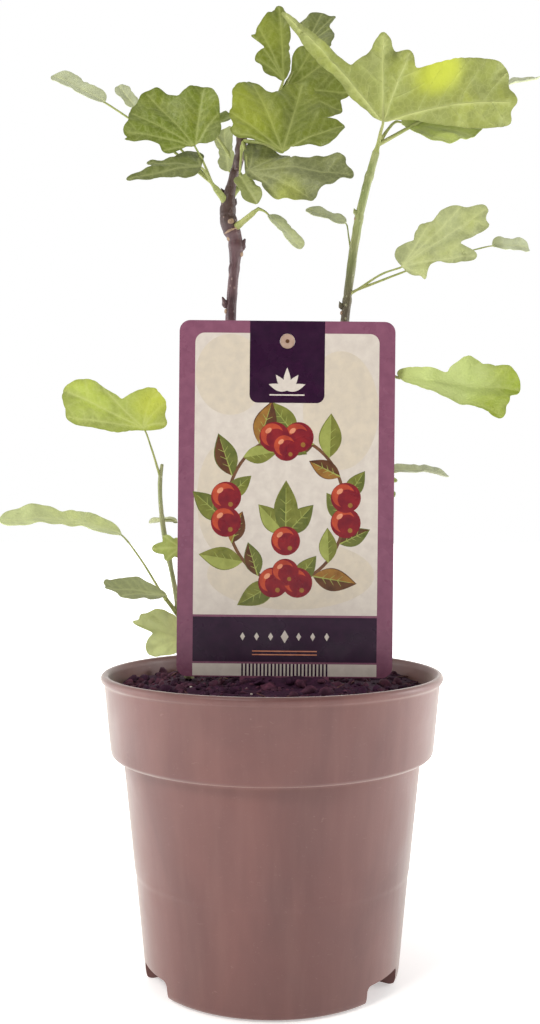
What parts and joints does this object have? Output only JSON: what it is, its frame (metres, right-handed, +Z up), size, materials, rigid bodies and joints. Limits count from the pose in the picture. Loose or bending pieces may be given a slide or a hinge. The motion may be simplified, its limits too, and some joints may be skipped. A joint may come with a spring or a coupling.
{
  "type": "fig tree in a pot",
  "caption": "Young fig tree with slim stems and lobed leaves on long stalks, in a tapered round nursery pot with a rim band and an upright plant label.",
  "frame": {"origin": "middle of the pot's flat underside", "axes": "+Z up along the pot's axis; the plant label faces -Y, and +X is to its right as its face is seen"},
  "size_m": [0.2074, 0.1306, 0.3816],
  "materials": {
    "pot_plastic": "satin moulded plastic",
    "compost": "damp crumbly compost",
    "label_plastic": "glossy printed card",
    "brown_bark": "young matt bark",
    "green_bark": "young smooth bark",
    "foliage": "soft matt leaf with a slight sheen"
  },
  "bodies": {
    "root": {"pot": "pot_plastic", "soil": "compost", "plant_label": "label_plastic", "stem_left": "brown_bark", "stem_right": "green_bark", "stem_low": "green_bark", "bough_left": "green_bark", "bough_crown": "green_bark", "bough_back": "green_bark", "bough_right": "green_bark", "bough_low": "green_bark", "spray_left": "foliage", "crown_front": "foliage", "crown_back": "foliage", "spray_hang": "foliage", "crown_right": "foliage", "leaf_upper": "foliage", "spray_right": "foliage", "leaf_right": "foliage", "leaf_small": "foliage", "top_low": "foliage", "side_low": "foliage", "leaf_low_mid": "foliage", "leaf_low_side": "foliage", "leaf_low_foot": "foliage", "back_left": "foliage", "back_mid": "foliage", "back_right": "foliage"}
  },
  "joints": []
}
